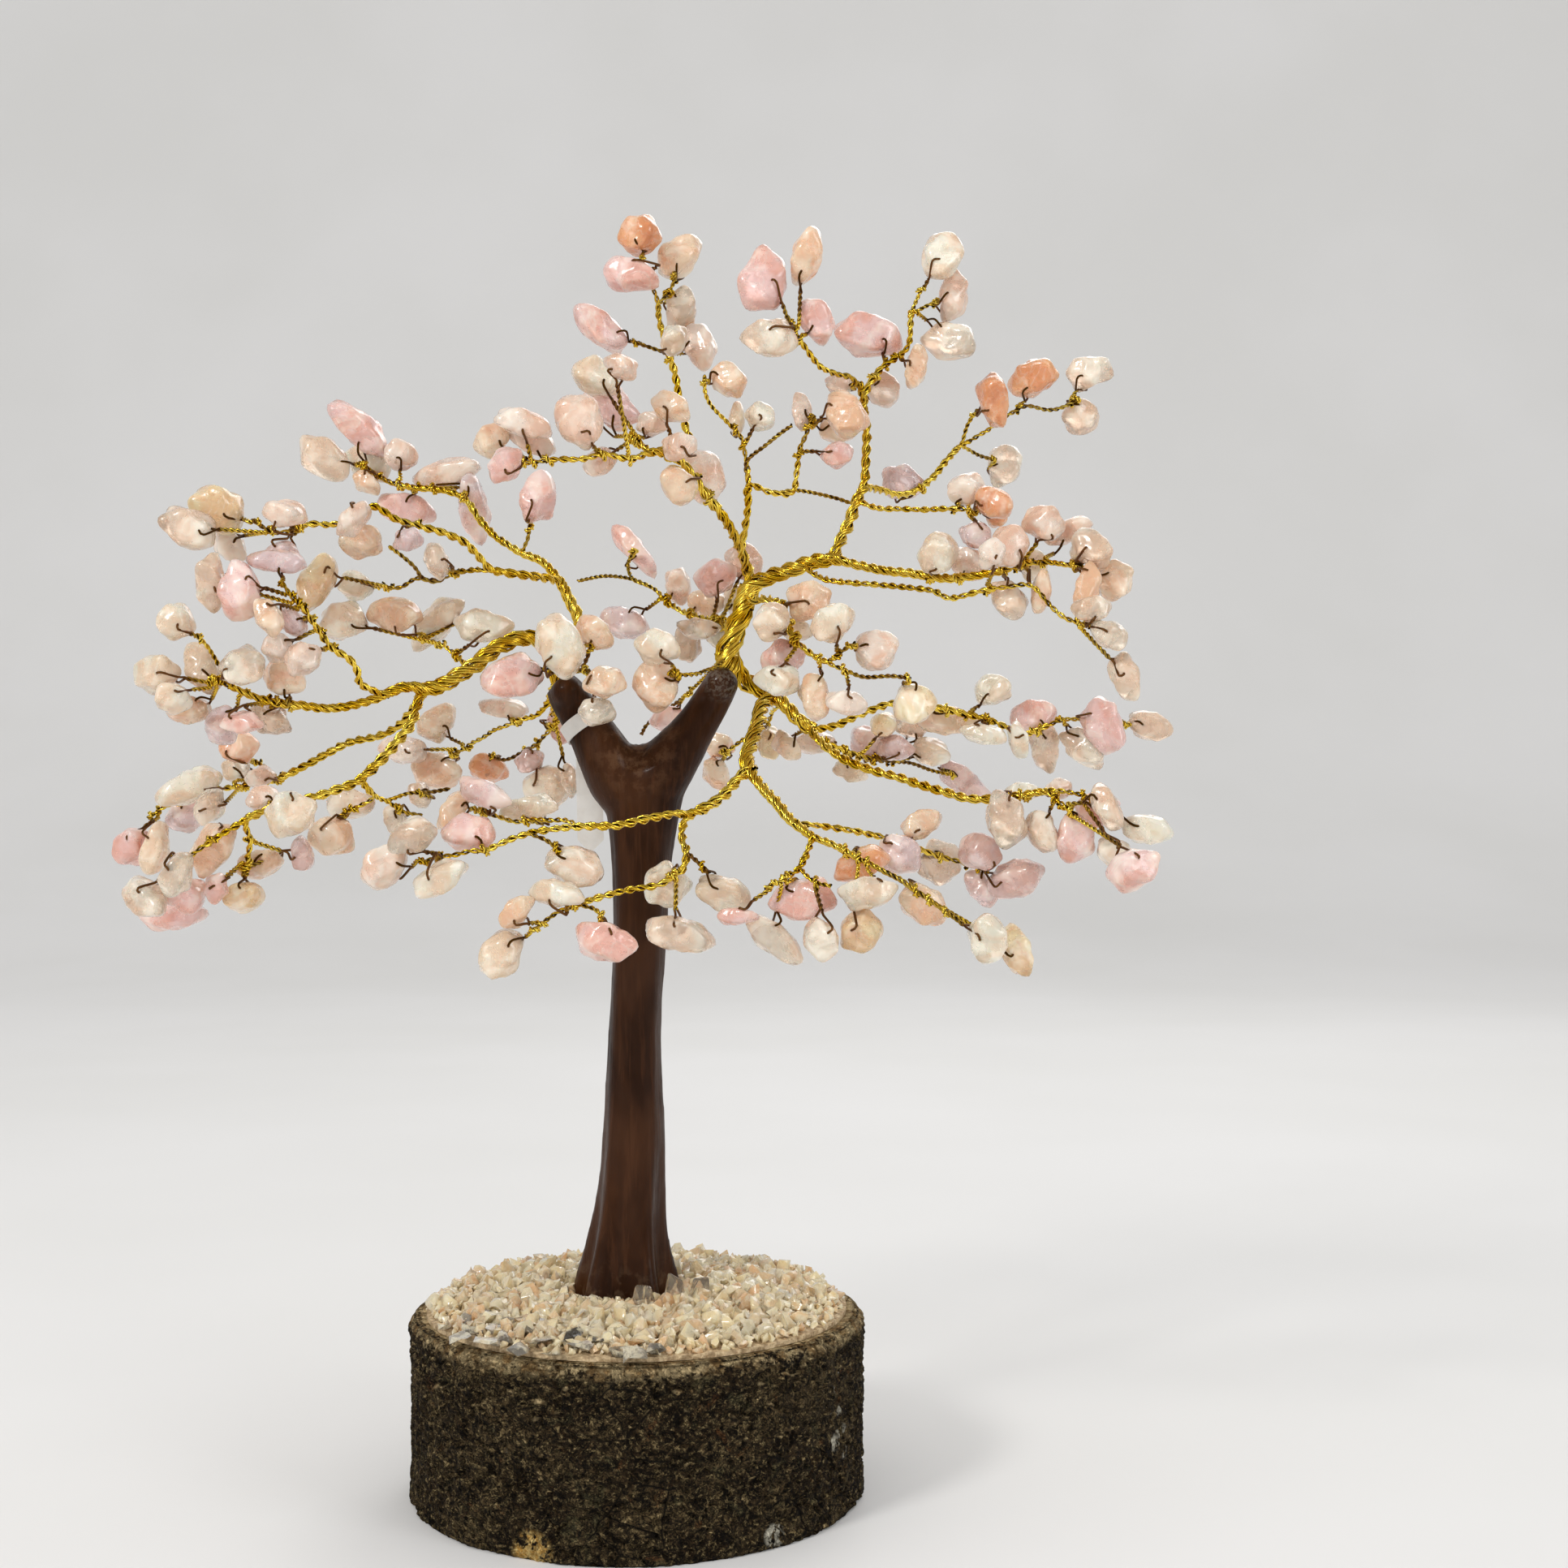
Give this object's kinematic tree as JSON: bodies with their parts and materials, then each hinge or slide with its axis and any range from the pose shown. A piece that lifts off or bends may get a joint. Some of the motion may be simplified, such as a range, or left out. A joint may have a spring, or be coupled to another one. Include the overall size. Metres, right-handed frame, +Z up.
{
  "type": "gemstone tree ornament",
  "caption": "Tabletop ornament: a log slice with a gravel bed carries a moulded forked trunk, and a crown of twisted wire twigs, each through a drilled quartz chip.",
  "frame": {"origin": "middle of the log's flat underside", "axes": "+Z up along the trunk, +X to the right of the picture, -Y towards its camera"},
  "size_m": [0.2061, 0.0904, 0.2426],
  "materials": {
    "bark_wood": "rough grey-brown bark with cracks and lichen; sawn top and underside",
    "glue": "dull clear-amber glue",
    "wire": "gold-coloured twisted wire, browned by handling",
    "painted_resin": "dark brown satin paint with vertical strokes",
    "crushed_stone": "crushed cream, pale pink and grey stone under clear glue",
    "clear_quartz": "clear rough crystal",
    "rose_quartz": "polished tumbled chips, pale pink, peach, clear and mauve",
    "label_paper": "matt white paper strip, bare"
  },
  "bodies": {
    "root": {"log_base": "bark_wood", "socket_glue": "glue", "armature": "wire", "trunk": "painted_resin", "gravel_bed": "crushed_stone", "gravel_stones": "crushed_stone", "foot_crystals": "clear_quartz", "paper_label": "label_paper", "right_bough_wire": "wire", "right_upper_wire": "wire", "right_upper_chips": "rose_quartz", "top_left_wire": "wire", "top_left_chips": "rose_quartz", "heart_wire": "wire", "heart_chips": "rose_quartz", "centre_spray_wire": "wire", "centre_spray_chips": "rose_quartz", "top_right_wire": "wire", "top_right_chips": "rose_quartz", "right_far_wire": "wire", "right_far_chips": "rose_quartz", "centre_right_wire": "wire", "centre_right_chips": "rose_quartz", "right_middle_wire": "wire", "right_middle_chips": "rose_quartz", "right_back_wire": "wire", "right_back_chips": "rose_quartz", "right_low_wire": "wire", "right_low_chips": "rose_quartz", "front_right_wire": "wire", "front_right_chips": "rose_quartz", "front_low_wire": "wire", "front_low_chips": "rose_quartz", "front_left_wire": "wire", "front_left_chips": "rose_quartz", "front_centre_wire": "wire", "front_centre_chips": "rose_quartz", "back_crown_wire": "wire", "back_crown_chips": "rose_quartz", "left_upper_wire": "wire", "left_upper_chips": "rose_quartz", "left_crest_wire": "wire", "left_crest_chips": "rose_quartz", "left_shoulder_wire": "wire", "left_shoulder_chips": "rose_quartz", "left_bough_wire": "wire", "left_bough_chips": "rose_quartz", "left_middle_wire": "wire", "left_middle_chips": "rose_quartz", "left_low_wire": "wire", "left_low_chips": "rose_quartz", "left_front_wire": "wire", "left_front_chips": "rose_quartz", "left_back_wire": "wire", "left_back_chips": "rose_quartz", "crotch_front_wire": "wire", "crotch_front_chips": "rose_quartz"}
  },
  "joints": []
}
